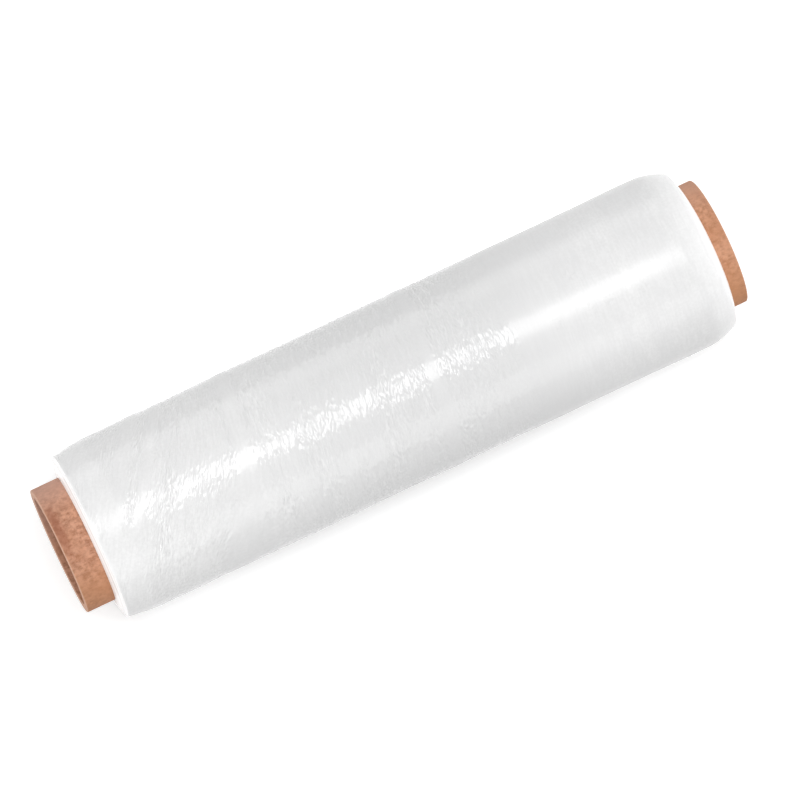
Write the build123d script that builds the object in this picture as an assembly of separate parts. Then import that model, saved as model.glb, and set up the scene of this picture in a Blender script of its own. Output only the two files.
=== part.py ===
from build123d import *
from math import sqrt
import os

# A roll of thin body wrap film, wound on a spiral-wound cardboard core that stands out of it at both
# ends. The roll lies on its side. X runs along the core, Z points up, and the origin is on the
# surface that the roll lies on, under the middle of the core. Every length is in millimetres.

# Driving sizes of the cardboard core
core_bore = 50.8  # diameter of the hole through the core
core_wall = 4.0
core_left_overhang = 13.2  # bare core beyond the film, at the -X end
core_right_overhang = 7.6
core_outer_bevel = 0.5  # worn outer corner of each cut end
core_inner_bevel = 0.4

# Driving sizes of the wound film
film_width = 300.0  # width of the turns next to the core
film_diameter = 81.0
end_recess = 1.8  # how far the outermost turns lie back from the innermost ones
rim_bevel = 0.5  # between an end face and its shoulder
left_shoulder_length = 14.0  # the outer turns neck in over this length
left_shoulder_drop = 1.8  # and lose this much radius
right_shoulder_length = 13.0
right_shoulder_drop = 3.5
gauge_band_height = 0.2  # swell of the roll where the film is a little thicker
turn_band_depth = 0.3  # groove between two groups of turns on an end face
rest_flat_width = 10.0  # soft turns pressed flat where the roll lies

# Shapes of the outline, as shares of the sizes above
# Each gauge band is a place along the full-diameter stretch and a share of the band height.
gauge_band_shares = (
    (0.07, 0.40), (0.13, -0.95), (0.20, 0.20), (0.27, 1.00), (0.36, 0.05),
    (0.50, 0.30), (0.62, -0.35), (0.80, -0.95), (0.87, -0.80), (0.97, 0.45),
)
# Each groove on an end face is a place between the core and the rim and a share of the groove depth.
turn_band_shares = (
    (0.09, 0.50), (0.23, 0.90), (0.39, 0.45), (0.52, 1.00), (0.68, 0.60), (0.85, 0.80),
)
# A shoulder's drop dies away with this power of the share of its length that is left.
left_shoulder_power_share = 1.1
right_shoulder_power_share = 1.8
shoulder_step_count = 6

# Worked out from the driving sizes
core_bore_radius = core_bore / 2
core_radius = core_bore_radius + core_wall
core_length = core_left_overhang + film_width + core_right_overhang
core_left = -core_length / 2
core_right = core_length / 2
film_radius = film_diameter / 2
film_left = core_left + core_left_overhang
film_right = core_right - core_right_overhang
# The flat spot is a chord of the full-diameter stretch, and it lies at Z = 0.
axis_height = sqrt(film_radius**2 - (rest_flat_width / 2) ** 2)


def cardboard_core():
    """The core about the X axis: cut square, the corners of its ends a little worn."""
    wall = Pos(0, core_bore_radius + core_wall / 2) * Rectangle(core_length, core_wall)
    wall = chamfer(wall.vertices().sort_by(Axis.Y)[-2:], core_outer_bevel)
    wall = chamfer(wall.vertices().sort_by(Axis.Y)[:2], core_inner_bevel)
    return revolve(wall, Axis.X)


def end_face_points(face_x, inward, rim_radius):
    """Points of an end face from the core out to its bevelled rim, with a crest between each two grooves.

    The face curves back by end_recess. Inward is 1 at the -X end and -1 at the +X end.
    """
    height = rim_radius - rim_bevel - core_radius

    def face_point(across, groove_depth):
        return (face_x + inward * (end_recess * across**2 + groove_depth), core_radius + height * across)

    grooves = [across for across, depth_share in turn_band_shares]
    crests = [(here + after) / 2 for here, after in zip(grooves, grooves[1:])] + [1]
    points = [face_point(0, 0)]
    for (across, depth_share), crest in zip(turn_band_shares, crests):
        points.append(face_point(across, turn_band_depth * depth_share))
        points.append(face_point(crest, 0))
    return points


def shoulder_points(rim_x, inward, length, drop, power_share):
    """Points of a shoulder from its rim to the full-diameter stretch."""
    points = []
    for step in range(shoulder_step_count + 1):
        along = step / shoulder_step_count
        points.append((rim_x + inward * length * along, film_radius - drop * (1 - along) ** power_share))
    return points


def body_points(x_from, x_to):
    """Points between the shoulders, where the roll swells and shrinks a little with the film's gauge."""
    points = []
    for along, height_share in gauge_band_shares:
        points.append((x_from + (x_to - x_from) * along, film_radius + gauge_band_height * height_share))
    return points


def film_outline():
    """Half of the film's lengthwise section: X along the roll, Y out from its axis."""
    left_face = end_face_points(film_left, 1, film_radius - left_shoulder_drop)
    right_face = end_face_points(film_right, -1, film_radius - right_shoulder_drop)
    left_rim_x = film_left + end_recess + rim_bevel
    right_rim_x = film_right - end_recess - rim_bevel
    left_shoulder = shoulder_points(
        left_rim_x, 1, left_shoulder_length, left_shoulder_drop, left_shoulder_power_share
    )
    right_shoulder = shoulder_points(
        right_rim_x, -1, right_shoulder_length, right_shoulder_drop, right_shoulder_power_share
    )
    body = body_points(left_shoulder[-1][0], right_shoulder[-1][0])
    points = left_face + left_shoulder + body + right_shoulder[::-1] + right_face[::-1]
    return make_face(Polyline(*points, close=True))


def wound_film():
    """All the turns as one solid about the X axis, pressed flat along the line that it lies on."""
    ground = Box(film_width, film_diameter, film_radius, align=(Align.CENTER, Align.CENTER, Align.MAX))
    return revolve(film_outline(), Axis.X) - Pos((film_left + film_right) / 2, 0, -axis_height) * ground


os.makedirs("parts", exist_ok=True)
lift = Pos(0, 0, axis_height)
export_step(lift * cardboard_core(), "parts/cardboard_core.step")
export_step(lift * wound_film(), "parts/wound_film.step")
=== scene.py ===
import bpy
import random
from math import atan2, cos, pi, radians, sin, sqrt, tau
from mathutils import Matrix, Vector, noise


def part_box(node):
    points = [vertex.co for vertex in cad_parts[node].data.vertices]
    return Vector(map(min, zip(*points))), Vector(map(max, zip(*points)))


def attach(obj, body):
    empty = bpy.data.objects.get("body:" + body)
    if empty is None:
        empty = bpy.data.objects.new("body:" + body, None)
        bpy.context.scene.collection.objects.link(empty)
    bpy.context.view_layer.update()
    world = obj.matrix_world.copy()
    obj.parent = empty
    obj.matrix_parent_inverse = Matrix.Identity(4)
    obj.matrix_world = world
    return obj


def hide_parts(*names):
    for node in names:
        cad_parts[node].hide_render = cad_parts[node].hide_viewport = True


# A roll of thin body wrap film on a spiral-wound cardboard core, lying on its side.
# Metres. X runs along the core, Z is up, and the roll lies on Z = 0.

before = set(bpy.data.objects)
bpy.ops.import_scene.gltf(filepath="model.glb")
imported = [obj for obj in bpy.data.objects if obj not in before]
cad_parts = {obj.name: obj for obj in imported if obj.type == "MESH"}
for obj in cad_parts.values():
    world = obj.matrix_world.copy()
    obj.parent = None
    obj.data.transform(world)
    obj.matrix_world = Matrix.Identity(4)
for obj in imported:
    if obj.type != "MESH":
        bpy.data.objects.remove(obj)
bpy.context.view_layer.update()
print("frame loaded:", ", ".join(sorted(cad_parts)))

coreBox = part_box("cardboard_core")
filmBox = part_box("wound_film")
axisHeight = (coreBox[0].z + coreBox[1].z) / 2


def smoothStep(value, start, end):
    share = min(max((value - start) / (end - start), 0), 1)
    return share * share * (3 - 2 * share)


# Modelling

mergeGap = 0.000002  # points nearer than this become one


def quarterTurn(steps):
    # the angles that round off a corner
    return [pi / 2 * step / steps for step in range(steps + 1)]


def drawProfile(name, points):
    # one vertex, extruded from point to point; a point is (along the roll, out from its axis)
    bpy.ops.object.select_all(action="DESELECT")
    bpy.ops.mesh.primitive_plane_add(size=0.001, location=(0, 0, 0))
    piece = bpy.context.object
    piece.name = name
    piece.data.name = name
    bpy.ops.object.mode_set(mode="EDIT")
    bpy.ops.mesh.select_all(action="SELECT")
    bpy.ops.mesh.merge(type="CENTER")
    spots = [Vector((along, 0, axisHeight + out)) for along, out in points]
    bpy.ops.transform.translate(value=spots[0])
    for here, after in zip(spots, spots[1:] + spots[:1]):
        bpy.ops.mesh.extrude_region_move(TRANSFORM_OT_translate={"value": after - here})
    return piece


def spinAboutAxis(steps):
    bpy.ops.mesh.select_all(action="SELECT")
    bpy.ops.mesh.remove_doubles(threshold=mergeGap)
    bpy.ops.mesh.spin(steps=steps, angle=tau, center=(0, 0, axisHeight), axis=(1, 0, 0))
    bpy.ops.mesh.select_all(action="SELECT")
    bpy.ops.mesh.remove_doubles(threshold=mergeGap)
    bpy.ops.mesh.normals_make_consistent(inside=False)
    bpy.ops.object.mode_set(mode="OBJECT")


# Shader maths

def grey(level):
    return (level, level, level)


class Signal:
    # one value in a material; sums and products with it become Math nodes
    def __init__(self, finish, socket):
        self.finish = finish
        self.socket = socket

    def maths(self, operation, first, second):
        return self.finish.add("Math", {"operation": operation}, {0: first, 1: second})

    def __add__(self, other):
        return self.maths("ADD", self, other)

    def __sub__(self, other):
        return self.maths("SUBTRACT", self, other)

    def __rsub__(self, other):
        return self.maths("SUBTRACT", other, self)

    def __mul__(self, other):
        return self.maths("MULTIPLY", self, other)

    def __truediv__(self, other):
        return self.maths("DIVIDE", self, other)

    def __rtruediv__(self, other):
        return self.maths("DIVIDE", other, self)

    __radd__ = __add__
    __rmul__ = __mul__


class Finish:
    # the nodes of a material or of the sky, added one by one
    def __init__(self, owner):
        owner.use_nodes = True
        self.owner = owner
        self.tree = owner.node_tree
        self.tree.nodes.clear()

    def add(self, kind, settings=None, inputs=None, output=0):
        # settings first, because some of them change the node's sockets
        node = self.tree.nodes.new("ShaderNode" + kind)
        for setting, value in (settings or {}).items():
            setattr(node, setting, value)
        for socket, value in (inputs or {}).items():
            if isinstance(value, Signal):
                self.tree.links.new(value.socket, node.inputs[socket])
            else:
                node.inputs[socket].default_value = value
        return Signal(self, node.outputs[output]) if node.outputs else node

    def axes(self, vector):
        node = self.add("SeparateXYZ", {}, {0: vector}).socket.node
        return [Signal(self, socket) for socket in node.outputs]

    def join(self, x, y, z):
        return self.add("CombineXYZ", {}, {0: x, 1: y, 2: z})

    def rise(self, value, start, end, low=0.0, high=1.0):
        steps = {"Value": value, "From Min": start, "From Max": end, "To Min": low, "To Max": high}
        return self.add("MapRange", {"interpolation_type": "SMOOTHSTEP"}, steps)

    def bothEnds(self, along, left, right, start, end):
        # rises towards each cut end; start and end are measured inwards from it
        leftEnd = self.rise(along, left + start, left + end)
        return leftEnd + self.rise(along, right - start, right - end)

    def cloud(self, vector, scale=1.0, detail=2.0, roughness=0.5):
        # noise, mostly between 0.3 and 0.7
        sockets = {"Vector": vector, "Scale": scale, "Detail": detail, "Roughness": roughness}
        return self.add("TexNoise", {}, sockets, "Fac")

    def stretchedCloud(self, place, size, detail, roughness=0.5):
        # size is the pattern's width along the roll and its length round it
        along, across, up = place
        width, length = size
        stretched = self.join(along / width, across / length, up / length)
        return self.cloud(stretched, 1.0, detail, roughness)

    def blend(self, share, first, second):
        # two colours mixed; either may be a plain (r, g, b)
        colours = [(*c, 1) if isinstance(c, tuple) else c for c in (first, second)]
        return self.add("Mix", {"data_type": "RGBA"}, {0: share, 6: colours[0], 7: colours[1]}, 2)

    def layered(self, tint, layers):
        # each layer is a share and the colour that goes over what is there
        for share, colour in layers:
            tint = self.blend(share, tint, colour)
        return tint

    def centredPlace(self):
        # object coordinates measured from the roll's axis
        place = self.add("TexCoord", output="Object")
        return self.add("Mapping", {}, {"Vector": place, "Location": (0, 0, -axisHeight)})

    def finishWith(self, shader, kind="OutputMaterial"):
        self.add(kind, {}, {"Surface": shader})
        return self.owner


# The wound film

film = {
    "node": "wound_film",
    "slot": "film",
    "steps": 180,  # faces round the roll
    "fineSpacing": 0.00054,  # between loops where the film is wrinkled
    "coarseSpacing": 0.0016,
    "fineUntil": 0.067,
    "smoothAngle": 50,
    "endRecess": 0.0018,  # the outermost turns lie this far back from the innermost ones
    "rimRound": 0.0005,
    "rimRoundSteps": 4,
    "ringCount": 20,  # groups of turns seen on an end face
    "ringDepth": 0.00018,
    "ringSlope": 0.008,  # half the width of a ring's edge, as a share of the face's height
    "ringReach": (0.01, 0.985),  # the rings' edges stay between these shares of it
    "ringGap": 0.00003,  # least height between two points of the face
    "leftShoulder": {"length": 0.014, "drop": 0.0018, "power": 1.1},
    "rightShoulder": {"length": 0.013, "drop": 0.0035, "power": 1.8},
    "shoulderLoops": 18,
    "bandHeight": 0.0002,
    # each gauge band is a place along the full-diameter stretch and a share of the band height
    "gaugeBands": (
        (0.0, 0.0), (0.07, 0.40), (0.13, -0.95), (0.20, 0.20), (0.27, 1.00), (0.36, 0.05),
        (0.50, 0.30), (0.62, -0.35), (0.80, -0.95), (0.87, -0.80), (0.97, 0.45), (1.0, 0.0),
    ),
    # the wrinkles lean across the top of the roll, more at its left end
    "leanLeft": 0.62,
    "leanMiddle": 0.14,
    "leanRight": 0.05,
    "leanFallsFirst": (-0.105, -0.060),
    "leanFallsAgain": (-0.005, 0.035),
    # sizes of uneven forms: width along the roll and length round it
    "wrinkleSize": (0.0013, 0.0036),
    "ruckSize": (0.0045, 0.0055),  # broader, shallower waves under the wrinkles
    "patchSize": (0.011, 0.03),  # some stretches are wrinkled more than others
    "patchEdges": (-0.3, 0.4),  # noise at which a patch starts and is at its fullest
    "driftSize": (0.009, 0.012),  # and the ridges wander by this pattern
    "wrinkleDepth": 0.00035,
    "ruckDepth": 0.00020,
    "ruckSmoothShare": 0.3,  # of the rucks' depth where there are no wrinkles
    "ridgeDepth": 0.00014,
    "ridgeSpacing": 0.0037,  # nearly even ridges round the roll
    "ridgeDrift": 4,  # radians
    "wrinklesEnd": (0.036, 0.067),
    # the wrinkles start strong at the left rim, fade until a place and come back between two
    "rimStrength": 0.9,
    "rimFade": 0.6,
    "rimFadeEnd": -0.139,
    "rimReturn": 0.7,
    "rimReturnPlaces": (-0.137, -0.126),
    # smooth places between the wrinkles: middle and half width
    "calmPlaces": (
        (-0.1308, 0.0042), (-0.1186, 0.0026), (-0.0712, 0.0042), (0.0178, 0.0032), (0.0600, 0.0020),
    ),
    "calmShare": 0.85,
    "calmEdges": (0.3, 1.5),  # in half widths
    "gatherPlace": -0.1043,  # a slanting gather of stronger wrinkles
    "gatherHalfWidth": 0.0070,
    "gatherFades": ((-0.034, -0.024), (-0.002, 0.006)),  # across the roll, in and out
    "gatherDepth": 0.5,  # added to the wrinkles' strength there
    "gatherContrast": 1.3,  # and to how strongly they show
    # small crinkled spots: along the roll and across it
    "crinkles": (
        (-0.105, 0.0131), (-0.0832, -0.022), (-0.0427, 0.0098), (-0.0318, 0.0098),
        (0.0893, 0.0056), (-0.0484, -0.0167), (-0.034, -0.0155), (-0.0183, -0.0159),
        (0.0031, -0.0159), (0.0532, -0.0176), (0.0749, -0.0113), (0.0915, -0.0113),
        (0.1002, -0.0118), (0.1163, -0.0126),
    ),
    "crinkleRadius": 0.0042,
    "crinkleCore": 0.3,  # share of the radius inside which a spot is at its strongest
    "tailAngle": -25,  # degrees above the level, at the back, where the last turn ends
    "tailStep": 0.00005,
    "seed": 11,
    # patterns in the finish: width along the roll and length round it, or noise scale
    "pleatSize": (0.0009, 0.004),
    "streakSize": (0.0009, 0.0024),
    "lineSize": (0.0011, 0.007),
    "bandSize": (0.006, 0.09),
    "hazeScale": 60.0,
    "grainScale": 750.0,
    "crinkleScale": 620.0,
    # colours, and where those of single stretches start and are at their fullest
    "dullTint": (0.835, 0.835, 0.838),
    "brightTint": grey(0.872),
    "middleTint": (0.738, 0.738, 0.741),
    "middleShare": 0.85,
    "middlePlaces": ((-0.11, 0.01), (0.105, 0.045)),
    "leftFrontTint": grey(0.905),
    "leftFrontShare": 0.6,
    "leftFrontAlong": (-0.08, -0.12),
    "leftFrontAcross": (0.004, -0.012),
    "grainTint": grey(0.79),
    "grainShare": 0.5,
    "lineTint": grey(0.74),
    "lineShare": 0.26,
    "pleatStrengths": (0.8, 1.4),  # wrinkle strength at which pleats start to show, and show fully
    "pleatShadow": grey(0.74),
    "pleatShadowShare": 0.45,
    "pleatShine": grey(0.96),
    "crinkleShadow": grey(0.72),
    "crinkleShadowShare": 0.4,
    "endTint": grey(0.93),
    "endPlaces": (0.0045, 0.0015),  # inwards from each end
    # the smooth film's roughness and the haze's share together stay below 0.274, because the
    # renderer's denoiser draws hard edges where a surface passes it
    "smoothRoughness": 0.243,
    "wrinkledRoughness": 0.09,
    "hazeRoughness": 0.025,
    "glossStrengths": (0.05, 0.5),  # wrinkle strength at which the gloss starts to rise, and is full
    "reliefDepth": 0.0004,
    "smoothRelief": 0.02,  # of the streaks, where there are no wrinkles
    "crinkleRelief": 0.12,
    "refraction": 1.52,
}

coreRadius = (coreBox[1].y - coreBox[0].y) / 2
filmLeft = filmBox[0].x
filmRight = filmBox[1].x
filmRadius = (filmBox[1].y - filmBox[0].y) / 2 - film["bandHeight"]
rimLeft = filmLeft + film["endRecess"] + film["rimRound"]
rimRight = filmRight - film["endRecess"] - film["rimRound"]
bodyLeft = rimLeft + film["leftShoulder"]["length"]
bodyRight = rimRight - film["rightShoulder"]["length"]


def bandAt(share):
    # the swell between two gauge bands, eased from one to the next
    for (before, low), (after, high) in zip(film["gaugeBands"], film["gaugeBands"][1:]):
        if share <= after:
            return low + (high - low) * smoothStep(share, before, after)
    return 0


def radiusAt(along):
    if along < bodyLeft:
        shoulder = film["leftShoulder"]
        left = (bodyLeft - along) / shoulder["length"]
    elif along > bodyRight:
        shoulder = film["rightShoulder"]
        left = (along - bodyRight) / shoulder["length"]
    else:
        return filmRadius + film["bandHeight"] * bandAt((along - bodyLeft) / (bodyRight - bodyLeft))
    return filmRadius - shoulder["drop"] * left ** shoulder["power"]


def endFaceProfile(face, inward, rim, rimDrop):
    # from the core out to the rim: groups of turns that stand back by uneven amounts
    dice = random.Random(film["seed"])
    top = filmRadius - rimDrop - film["rimRound"]
    points = [(face, coreRadius)]
    edges = sorted(dice.random() for _ in range(film["ringCount"]))
    depth = 0
    for edge in edges:
        nextDepth = film["ringDepth"] * dice.random()
        for share, setBack in ((edge - film["ringSlope"], depth), (edge + film["ringSlope"], nextDepth)):
            share = min(max(share, film["ringReach"][0]), film["ringReach"][1])
            out = coreRadius + (top - coreRadius) * share
            if points[-1][1] < out - film["ringGap"]:
                points.append((face + inward * (film["endRecess"] * share ** 2 + setBack), out))
        depth = nextDepth
    for turn in quarterTurn(film["rimRoundSteps"]):
        points.append((
            rim - inward * film["rimRound"] * cos(turn),
            top + film["rimRound"] * sin(turn),
        ))
    return points


def filmProfile():
    left = endFaceProfile(filmLeft, 1, rimLeft, film["leftShoulder"]["drop"])
    right = endFaceProfile(filmRight, -1, rimRight, film["rightShoulder"]["drop"])
    loops = film["shoulderLoops"]
    places = [rimLeft + (bodyLeft - rimLeft) * n / loops for n in range(1, loops)]
    along = bodyLeft
    while along < bodyRight - film["coarseSpacing"] / 2:
        places.append(along)
        along += film["fineSpacing"] if along < film["fineUntil"] else film["coarseSpacing"]
    places += [bodyRight + (rimRight - bodyRight) * n / loops for n in range(loops)]
    return left + [(place, radiusAt(place)) for place in places] + right[::-1]


def leanAt(along):
    lean = film["leanLeft"]
    lean -= (film["leanLeft"] - film["leanMiddle"]) * smoothStep(along, *film["leanFallsFirst"])
    lean -= (film["leanMiddle"] - film["leanRight"]) * smoothStep(along, *film["leanFallsAgain"])
    return lean


def wrinkleStrength(along, slanted, across):
    # two strengths, of the wrinkles and of the gather: 0 where the film lies smooth, 1 at the most
    strength = 1 - smoothStep(along, *film["wrinklesEnd"])
    strength *= (
        film["rimStrength"]
        - film["rimFade"] * smoothStep(along, rimLeft, film["rimFadeEnd"])
        + film["rimReturn"] * smoothStep(along, *film["rimReturnPlaces"])
    )
    inner, outer = film["calmEdges"]
    for middle, half in film["calmPlaces"]:
        calm = 1 - smoothStep(abs(slanted - middle), half * inner, half * outer)
        strength *= 1 - film["calmShare"] * calm
    fadeIn, fadeOut = film["gatherFades"]
    gather = 1 - smoothStep(abs(slanted - film["gatherPlace"]), 0, film["gatherHalfWidth"])
    gather *= smoothStep(across, *fadeIn) * (1 - smoothStep(across, *fadeOut))
    return strength, gather


def wavesAt(place, size, shift):
    # noise stretched to that size; the shift keeps one pattern from repeating another
    slanted, across, up = place
    width, length = size
    return noise.noise(Vector((slanted / width, across / length, up / length + shift)))


def wrinkleFilm(piece):
    # each point of the outer skin sinks by the depth of the wrinkles there
    strengths = piece.data.attributes.new("wrinkles", "FLOAT", "POINT")
    tail = radians(film["tailAngle"])
    for index, vertex in enumerate(piece.data.vertices):
        along, across, up = vertex.co.x, vertex.co.y, vertex.co.z - axisHeight
        out = Vector((0, across, up))
        if out.length < coreRadius * 1.01 or not rimLeft <= along <= rimRight:
            continue  # the end faces and the hole stay as they are
        slanted = along - leanAt(along) * across
        strength, gather = wrinkleStrength(along, slanted, across)
        place = (slanted, across, up)
        patch = 0.5 + 0.5 * smoothStep(wavesAt(place, film["patchSize"], 7), *film["patchEdges"])
        wrinkle = 0.5 + 0.5 * wavesAt(place, film["wrinkleSize"], 0)
        depth = film["wrinkleDepth"] * (strength + film["gatherDepth"] * gather) * patch * wrinkle
        ruck = 0.5 + 0.5 * wavesAt(place, film["ruckSize"], 3)
        smoothShare = film["ruckSmoothShare"]
        depth += film["ruckDepth"] * (smoothShare + (1 - smoothShare) * strength) * ruck
        drift = film["ridgeDrift"] * wavesAt(place, film["driftSize"], 5)
        ridge = 0.5 + 0.5 * sin(slanted / film["ridgeSpacing"] * tau + drift)
        depth += film["ridgeDepth"] * strength * ridge
        turn = (atan2(up, across) - tail) % tau / tau
        depth += film["tailStep"] * turn
        vertex.co -= out.normalized() * depth
        strengths.data[index].value = (strength + film["gatherContrast"] * gather) * patch
    for vertex in piece.data.vertices:
        vertex.co.z = max(vertex.co.z, 0)  # the soft turns give where the roll lies


def crinkledSpots(f, centred):
    # 1 in the middle of each crinkled spot on the roll's top, 0 beside them
    crinkled = 0.0
    radius = film["crinkleRadius"]
    for spotAlong, spotAcross in film["crinkles"]:
        spot = (spotAlong, spotAcross, sqrt(filmRadius ** 2 - spotAcross ** 2))
        gap = f.add("VectorMath", {"operation": "DISTANCE"}, {0: centred, 1: spot}, "Value")
        crinkled = crinkled + f.rise(gap, radius, radius * film["crinkleCore"])
    return crinkled


def filmFinish():
    f = Finish(bpy.data.materials.new("milky film"))
    centred = f.centredPlace()
    along, across, up = f.axes(centred)
    strength = f.add("Attribute", {"attribute_name": "wrinkles"}, {}, "Fac")
    first = f.rise(along, *film["leanFallsFirst"], film["leanLeft"], film["leanMiddle"])
    again = f.rise(along, *film["leanFallsAgain"], 0.0, film["leanMiddle"] - film["leanRight"])
    slanted = (along - (first - again) * across, across, up)
    pleats = f.stretchedCloud(slanted, film["pleatSize"], 1.0)
    streaks = f.stretchedCloud(slanted, film["streakSize"], 0.0)
    lines = f.stretchedCloud(slanted, film["lineSize"], 1.5)
    bands = f.stretchedCloud((along, across, up), film["bandSize"], 1.5, 0.65)
    haze = f.cloud(centred, film["hazeScale"], 4.0, 0.6)
    grain = f.cloud(centred, film["grainScale"], 1.0)
    crinkle = f.cloud(centred, film["crinkleScale"], 1.0)
    crinkled = crinkledSpots(f, centred)
    pleated = f.rise(strength, *film["pleatStrengths"])
    middle = f.rise(along, *film["middlePlaces"][0]) * f.rise(along, *film["middlePlaces"][1])
    leftFront = f.rise(along, *film["leftFrontAlong"], 0.0, film["leftFrontShare"])
    leftFront = leftFront * f.rise(across, *film["leftFrontAcross"])
    ends = f.bothEnds(along, filmLeft, filmRight, *film["endPlaces"])
    tint = f.blend(f.rise(bands * 0.6 + haze * 0.4, 0.35, 0.65), film["dullTint"], film["brightTint"])
    tint = f.layered(tint, (
        (middle * film["middleShare"], film["middleTint"]),
        (leftFront, film["leftFrontTint"]),
        (f.rise(grain, 0.3, 0.7, 0.0, film["grainShare"]), film["grainTint"]),
        (f.rise(lines, 0.35, 0.65, film["lineShare"], 0.0), film["lineTint"]),
        (f.rise(pleats, 0.50, 0.36) * pleated * film["pleatShadowShare"], film["pleatShadow"]),
        (f.rise(pleats, 0.52, 0.66) * pleated, film["pleatShine"]),
        (f.rise(crinkle, 0.50, 0.36) * crinkled * film["crinkleShadowShare"], film["crinkleShadow"]),
        (ends, film["endTint"]),
    ))
    gloss = f.rise(
        strength, *film["glossStrengths"], film["smoothRoughness"], film["wrinkledRoughness"]
    )
    gloss = gloss + haze * film["hazeRoughness"]
    relief = streaks * (strength + film["smoothRelief"])
    relief = relief + crinkle * crinkled * film["crinkleRelief"]
    normal = f.add("Bump", {}, {"Strength": 1.0, "Distance": film["reliefDepth"], "Height": relief})
    shader = f.add("BsdfPrincipled", {}, {
        "Base Color": tint, "Roughness": gloss, "Normal": normal, "IOR": film["refraction"],
    })
    return f.finishWith(shader)


def makeFilm():
    piece = drawProfile("film_roll", filmProfile())
    spinAboutAxis(film["steps"])
    wrinkleFilm(piece)
    bpy.ops.object.shade_smooth_by_angle(angle=radians(film["smoothAngle"]))
    piece.data.materials.append(filmFinish())
    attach(piece, "root")
    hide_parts(film["node"])
    print("film:", len(piece.data.vertices), "vertices")


makeFilm()

# The cardboard core

core = {
    "node": "cardboard_core",
    "slot": "core_board",
    "steps": 168,  # faces round the core
    "smoothAngle": 40,
    "wall": 0.004,
    "plyCount": 9,  # glued layers seen on the cut ends
    "plyFace": (0.15, 0.80),  # where a layer's face starts and ends, in layers
    "plyGroove": 0.98,  # and where the groove after it lies
    "plyGap": 0.00012,  # depth of that groove
    "plyStagger": 0.00010,
    "edgeWear": 0.00045,
    "edgeWearSteps": 3,
    "bareSpacing": 0.0006,
    "boreSpacing": 0.0040,
    "underFilm": 0.002,  # the bare stretches run on this far under the film
    "seamLead": 0.102,  # the seam between turns of the outer ply advances this far in one turn
    "seamStart": 1.55,
    "seamDepth": 0.00010,
    "seamHalfWidth": 0.0006,
    "outerSkin": 0.0003,  # points this near the outer surface belong to it
    "fibreSize": 0.0022,
    "fibreDepth": 0.00006,
    # a darker stain near the left rim: the pattern is moved and scaled so that it spans one unit
    "stainPlace": (56.9, -0.2, -1.65),
    "stainScale": (360.0, 75.0, 60.0),
    "seed": 5,
    # patterns in the finish: noise scale, or width along the core and length round it
    "mottleScale": 420.0,
    "broadScale": 90.0,
    "threadSize": (0.0035, 0.0009),
    # colours, and where those of single stretches start and are at their fullest
    "darkTint": (0.36, 0.155, 0.085),
    "lightTint": (0.66, 0.345, 0.225),
    "threadTint": (0.63, 0.35, 0.24),
    "threadShare": 0.55,
    "broadTint": (0.47, 0.21, 0.115),
    "broadShare": 0.5,
    # painted light: the back of the core is made lighter, as if more light fell on it there
    "backPaintedLight": (0.66, 0.40, 0.315),
    "paintedLightAcross": (0.006, 0.026),
    "paintedLightShare": 0.65,
    "frontTint": (0.56, 0.26, 0.125),
    "frontAcross": (-0.010, -0.028),
    "frontShare": 0.5,
    "rightTint": (0.56, 0.27, 0.13),
    "rightLength": 0.004,
    "rightShare": 0.3,
    "stainTint": (0.30, 0.10, 0.055),
    "stainShare": 0.6,
    "stainEdge": (1.7, 0.7),  # distances in the stain's pattern, made ragged by the mottle
    "stainRagged": 0.8,
    "cutTint": (0.60, 0.39, 0.29),
    "cutPlaces": (0.0005, 0.0002),  # inwards from each end
    "cutShare": 0.8,
    "roughness": (0.72, 0.9),
    "reliefDepth": 0.00008,
    "reliefStrength": 0.8,
    "shine": 0.3,
}

coreLeft = coreBox[0].x
coreRight = coreBox[1].x
boreRadius = coreRadius - core["wall"]


def cutEndProfile(end, inward):
    # from the outside in: worn corner, then each ply a little proud or sunk
    dice = random.Random(core["seed"])
    wear = core["edgeWear"]
    corner = quarterTurn(core["edgeWearSteps"])
    points = []
    for turn in corner:
        points.append((end + inward * wear * (1 - sin(turn)), coreRadius - wear * (1 - cos(turn))))
    ply = (coreRadius - boreRadius - 2 * wear) / core["plyCount"]
    out = coreRadius - wear
    for n in range(core["plyCount"]):
        setBack = core["plyStagger"] * dice.random()
        for share in core["plyFace"]:
            points.append((end + inward * setBack, out - ply * (n + share)))
        if n < core["plyCount"] - 1:
            groove = out - ply * (n + core["plyGroove"])
            points.append((end + inward * (setBack + core["plyGap"]), groove))
    for turn in corner:
        points.append((end + inward * wear * (1 - cos(turn)), boreRadius + wear * (1 - sin(turn))))
    return points


def evenPlaces(start, end, spacing):
    count = max(round(abs(end - start) / spacing), 1)
    return [start + (end - start) * n / count for n in range(1, count)]


def coreProfile():
    left = cutEndProfile(coreLeft, 1)
    right = cutEndProfile(coreRight, -1)
    wear = core["edgeWear"]
    outer = evenPlaces(coreLeft + wear, filmLeft + core["underFilm"], core["bareSpacing"])
    outer += evenPlaces(filmRight - core["underFilm"], coreRight - wear, core["bareSpacing"])
    bore = evenPlaces(coreLeft + wear, coreRight - wear, core["boreSpacing"])
    return (
        [(place, coreRadius) for place in outer]
        + right
        + [(place, boreRadius) for place in bore[::-1]]
        + left[::-1]
    )


def roughenCore(piece):
    # fibres all over, and the seam of the outer ply
    for vertex in piece.data.vertices:
        along, across, up = vertex.co.x, vertex.co.y, vertex.co.z - axisHeight
        out = Vector((0, across, up))
        depth = core["fibreDepth"] * (0.5 + 0.5 * noise.noise(vertex.co / core["fibreSize"]))
        if out.length > coreRadius - core["outerSkin"]:
            angle = atan2(up, across)
            seam = (along / core["seamLead"] * tau - angle + core["seamStart"] + pi) % tau - pi
            gap = abs(seam) / tau * core["seamLead"]
            depth += core["seamDepth"] * (1 - smoothStep(gap, 0, core["seamHalfWidth"]))
            vertex.co -= out.normalized() * depth
        else:
            vertex.co += out.normalized() * depth


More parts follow.
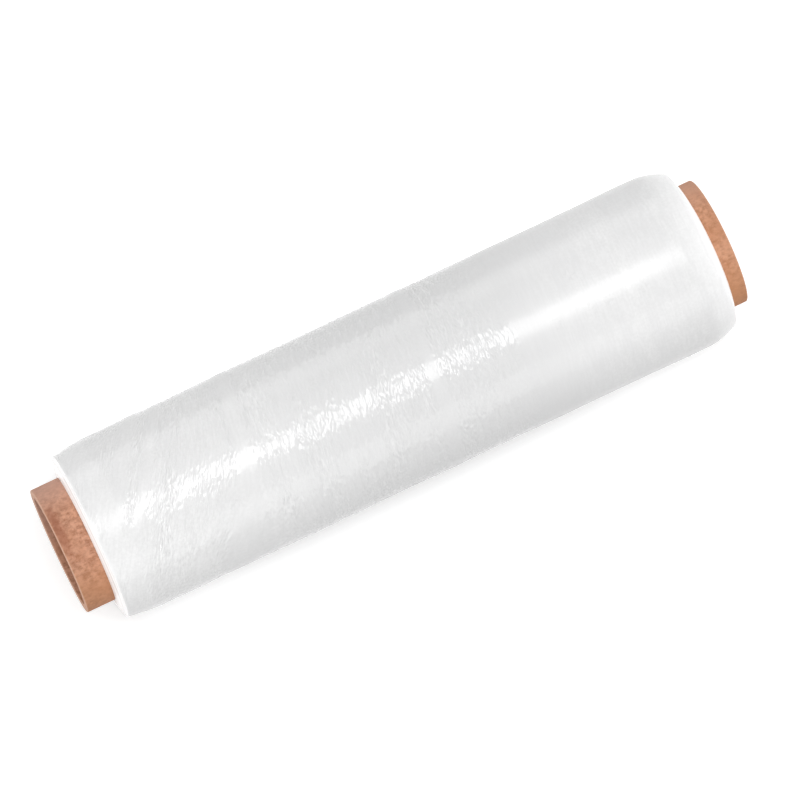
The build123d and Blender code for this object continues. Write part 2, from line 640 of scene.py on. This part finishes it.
def coreFinish():
    c = Finish(bpy.data.materials.new("wound board"))
    centred = c.centredPlace()
    along, across, up = c.axes(centred)
    mottle = c.cloud(centred, core["mottleScale"], 4.0, 0.65)
    threads = c.stretchedCloud((along, across, up), core["threadSize"], 3.0, 0.6)
    broad = c.cloud(centred, core["broadScale"], 2.0)
    moved = {"Vector": centred, "Location": core["stainPlace"], "Scale": core["stainScale"]}
    reach = c.add("VectorMath", {"operation": "LENGTH"}, {0: c.add("Mapping", {}, moved)}, "Value")
    cut = c.bothEnds(along, coreLeft, coreRight, *core["cutPlaces"])
    tint = c.blend(c.rise(mottle, 0.34, 0.66), core["darkTint"], core["lightTint"])
    rightEdge = filmRight - core["rightLength"]
    stained = reach + mottle * core["stainRagged"]
    tint = c.layered(tint, (
        (c.rise(threads, 0.35, 0.75, 0.0, core["threadShare"]), core["threadTint"]),
        (c.rise(broad, 0.35, 0.75, 0.0, core["broadShare"]), core["broadTint"]),
        # painted light on the core's back side
        (c.rise(across, *core["paintedLightAcross"], 0.0, core["paintedLightShare"]), core["backPaintedLight"]),
        (c.rise(across, *core["frontAcross"], 0.0, core["frontShare"]), core["frontTint"]),
        (c.rise(along, rightEdge, filmRight, 0.0, core["rightShare"]), core["rightTint"]),
        (c.rise(stained, *core["stainEdge"], 0.0, core["stainShare"]), core["stainTint"]),
        (cut * core["cutShare"], core["cutTint"]),
    ))
    relief = mottle * 0.5 + threads * 0.5
    normal = c.add("Bump", {}, {
        "Strength": core["reliefStrength"], "Distance": core["reliefDepth"], "Height": relief,
    })
    shader = c.add("BsdfPrincipled", {}, {
        "Base Color": tint, "Roughness": c.rise(mottle, 0.3, 0.7, *core["roughness"]),
        "Normal": normal, "Specular IOR Level": core["shine"],
    })
    return c.finishWith(shader)


def makeCore():
    piece = drawProfile("core_tube", coreProfile())
    spinAboutAxis(core["steps"])
    roughenCore(piece)
    bpy.ops.object.shade_smooth_by_angle(angle=radians(core["smoothAngle"]))
    piece.data.materials.append(coreFinish())
    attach(piece, "root")
    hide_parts(core["node"])
    print("core:", len(piece.data.vertices), "vertices")


makeCore()

# Floor, world and lamps

studio = {
    "floorSize": 12.0,
    "floorGrey": 0.20,  # as it lights the roll
    "floorSeenGrey": 0.98,
    "floorGlow": 0.30,  # seen beside the lit floor, so that it is white and only the shadow shows
    "skyStrength": 0.455,  # as it lights the roll
    # width, height, distance, side, elevation, how far to the right, and power in watts; the side
    # is the turn from the front in degrees, -90 at the roll's left end and 90 at its right
    "softBoxes": {
        "overhead soft box": (0.64, 0.60, 1.6, 0, 83, 0.11, 7.4),
        "left overhead soft box": (0.15, 0.54, 1.6, 0, 83, -0.40, 1.8),
        "front fill": (1.6, 1.1, 1.8, 0, 19, 0, 7.6),
        "back fill": (1.6, 0.8, 1.8, 180, 24, 0, 4.0),
        "left fill": (0.5, 0.5, 1.5, -90, 8, 0, 11.0),
        "right fill": (0.5, 0.5, 1.5, 90, 8, 0, 12.5),
    },
}


def seenRays(tree):
    # 1 for rays that should meet a plain white surround
    camera = tree.add("LightPath", output="Is Camera Ray")
    glossy = tree.add("LightPath", output="Is Glossy Ray")
    through = tree.add("LightPath", output="Is Transmission Ray")
    return tree.add("Math", {"operation": "MINIMUM"}, {0: camera + glossy + through, 1: 1.0})


def makeFloor():
    bpy.ops.object.select_all(action="DESELECT")
    bpy.ops.mesh.primitive_plane_add(size=studio["floorSize"], location=(0, 0, 0))
    floor = bpy.context.object
    floor.name = "pale_floor"
    f = Finish(bpy.data.materials.new("pale floor"))
    seen = seenRays(f)
    colour = f.blend(seen, grey(studio["floorGrey"]), grey(studio["floorSeenGrey"]))
    lit = f.add("BsdfDiffuse", {}, {"Color": colour})
    glow = f.add("Emission", {}, {"Color": (1, 1, 1, 1), "Strength": seen * studio["floorGlow"]})
    floor.data.materials.append(f.finishWith(f.add("AddShader", {}, {0: lit, 1: glow})))


def makeSky():
    # plain white where it is seen, and dimmer where it lights the roll
    sky = Finish(bpy.data.worlds.new("plain white"))
    strength = seenRays(sky) * (1 - studio["skyStrength"]) + studio["skyStrength"]
    shader = sky.add("Background", {}, {"Color": (1, 1, 1, 1), "Strength": strength})
    bpy.context.scene.world = sky.finishWith(shader, "OutputWorld")


def hangSoftBox(name, width, height, distance, side, elevation, aside, power):
    turn, rise = radians(side), radians(elevation)
    towards = Vector((sin(turn) * cos(rise), -cos(turn) * cos(rise), sin(rise)))
    lamp = bpy.data.lights.new(name, "AREA")
    lamp.shape = "RECTANGLE"
    lamp.size, lamp.size_y = width, height
    lamp.energy = power
    holder = bpy.data.objects.new(name, lamp)
    bpy.context.scene.collection.objects.link(holder)
    holder.location = Vector((aside, 0, axisHeight)) + towards * distance
    holder.rotation_euler = (pi / 2 - rise, 0, turn)


makeFloor()
makeSky()
for name, box in studio["softBoxes"].items():
    hangSoftBox(name, *box)
print("floor, sky and lamps made")

# The camera, at the photograph's angle

shot = {
    "azimuth": -25.9,
    "elevation": 76.16,
    "distance": 3.311,
    "lens": 340.3,
    "sensor": 36.0,
    "sight": (0.1, 50),  # nearest and farthest that it sees
    "aside": 0.00185,  # the middle of the film stands this far left of the picture's middle
    "below": 0.00319,  # and this far above it
}


def placeCamera():
    turn, rise = radians(shot["azimuth"]), radians(shot["elevation"])
    back = Vector((sin(turn) * cos(rise), -cos(turn) * cos(rise), sin(rise)))
    right = Vector((cos(turn), sin(turn), 0))
    above = back.cross(right)
    middle = Vector(((filmLeft + filmRight) / 2, 0, axisHeight))
    camera = bpy.data.cameras.new("camera")
    camera.lens = shot["lens"]
    camera.sensor_width = shot["sensor"]
    camera.clip_start, camera.clip_end = shot["sight"]
    holder = bpy.data.objects.new("camera", camera)
    bpy.context.scene.collection.objects.link(holder)
    holder.location = middle + right * shot["aside"] - above * shot["below"] + back * shot["distance"]
    holder.rotation_euler = (pi / 2 - rise, 0, turn)
    bpy.context.scene.camera = holder


placeCamera()
bpy.context.scene.view_settings.view_transform = "Standard"
